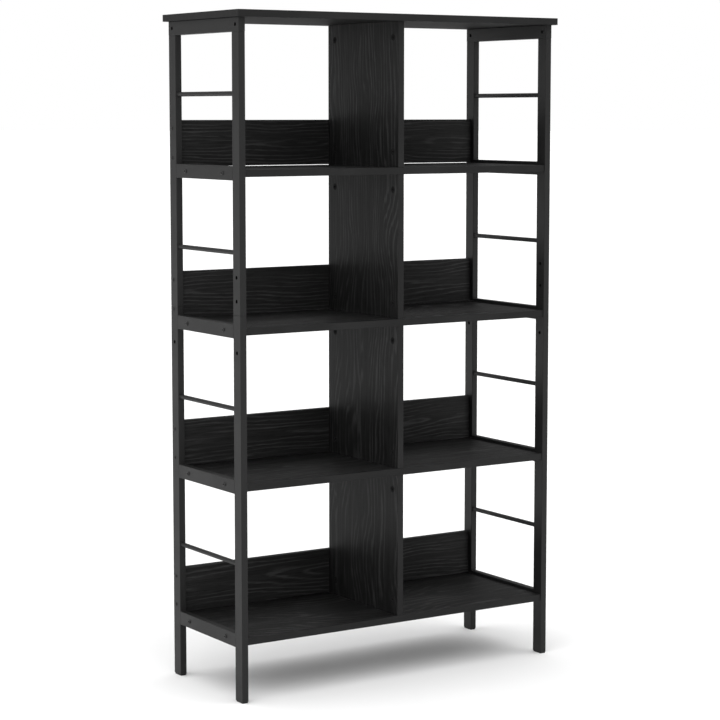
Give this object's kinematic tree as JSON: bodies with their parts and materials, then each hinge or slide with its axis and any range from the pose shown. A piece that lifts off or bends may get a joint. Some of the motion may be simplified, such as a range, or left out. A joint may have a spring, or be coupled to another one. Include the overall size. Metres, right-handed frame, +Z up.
{
  "type": "open bookcase",
  "caption": "Tall open bookcase: black steel side frames, black wood-grain top, shelves, a central divider in each tier and low back boards.",
  "frame": {"origin": "on the floor plane, under the middle of the bookcase's width and depth", "axes": "+X to the right when facing the open front, +Y towards the back, +Z up; the open front faces -Y"},
  "size_m": [0.83, 0.332, 1.465],
  "materials": {
    "black_frame_steel": "satin black powder coat with a fine texture",
    "black_oak_board": "black oak-look laminate with an embossed grain and a low sheen, edges banded to match",
    "black_screw_steel": "black oxide, slightly glossy",
    "zinc_plated_steel": "bright zinc plate",
    "cam_lock_metal": "die-cast, blackened",
    "dowel_beech": "plain beech, fluted",
    "black_plastic": "fine matt moulded"
  },
  "bodies": {
    "root": {"back_board_1": "black_oak_board", "back_board_2": "black_oak_board", "back_board_3": "black_oak_board", "back_board_4": "black_oak_board", "back_board_screws": "black_screw_steel", "cam_bolts": "zinc_plated_steel", "cam_locks": "cam_lock_metal", "double_cam_bolts": "zinc_plated_steel", "left_front_foot": "black_plastic", "left_front_leg_sleeve": "black_frame_steel", "left_front_lower_leg": "black_frame_steel", "left_front_upper_leg": "black_frame_steel", "left_rear_foot": "black_plastic", "left_rear_leg_sleeve": "black_frame_steel", "left_rear_lower_leg": "black_frame_steel", "left_rear_upper_leg": "black_frame_steel", "left_side_rail_1": "black_frame_steel", "left_side_rail_2": "black_frame_steel", "left_side_rail_3": "black_frame_steel", "left_side_rail_4": "black_frame_steel", "left_side_rod_1": "black_frame_steel", "left_side_rod_2": "black_frame_steel", "left_side_rod_3": "black_frame_steel", "left_side_rod_4": "black_frame_steel", "left_top_rail": "black_frame_steel", "leg_joint_screws": "black_screw_steel", "partition_1": "black_oak_board", "partition_2": "black_oak_board", "partition_3": "black_oak_board", "partition_4": "black_oak_board", "partition_dowels": "dowel_beech", "rail_end_caps": "black_plastic", "right_front_foot": "black_plastic", "right_front_leg_sleeve": "black_frame_steel", "right_front_lower_leg": "black_frame_steel", "right_front_upper_leg": "black_frame_steel", "right_rear_foot": "black_plastic", "right_rear_leg_sleeve": "black_frame_steel", "right_rear_lower_leg": "black_frame_steel", "right_rear_upper_leg": "black_frame_steel", "right_side_rail_1": "black_frame_steel", "right_side_rail_2": "black_frame_steel", "right_side_rail_3": "black_frame_steel", "right_side_rail_4": "black_frame_steel", "right_side_rod_1": "black_frame_steel", "right_side_rod_2": "black_frame_steel", "right_side_rod_3": "black_frame_steel", "right_side_rod_4": "black_frame_steel", "right_top_rail": "black_frame_steel", "shelf_1": "black_oak_board", "shelf_2": "black_oak_board", "shelf_3": "black_oak_board", "shelf_4": "black_oak_board", "shelf_bolts": "black_screw_steel", "shelf_inserts": "zinc_plated_steel", "top_board": "black_oak_board", "top_board_lock_screws": "black_screw_steel", "top_board_pins": "black_screw_steel"}
  },
  "joints": []
}
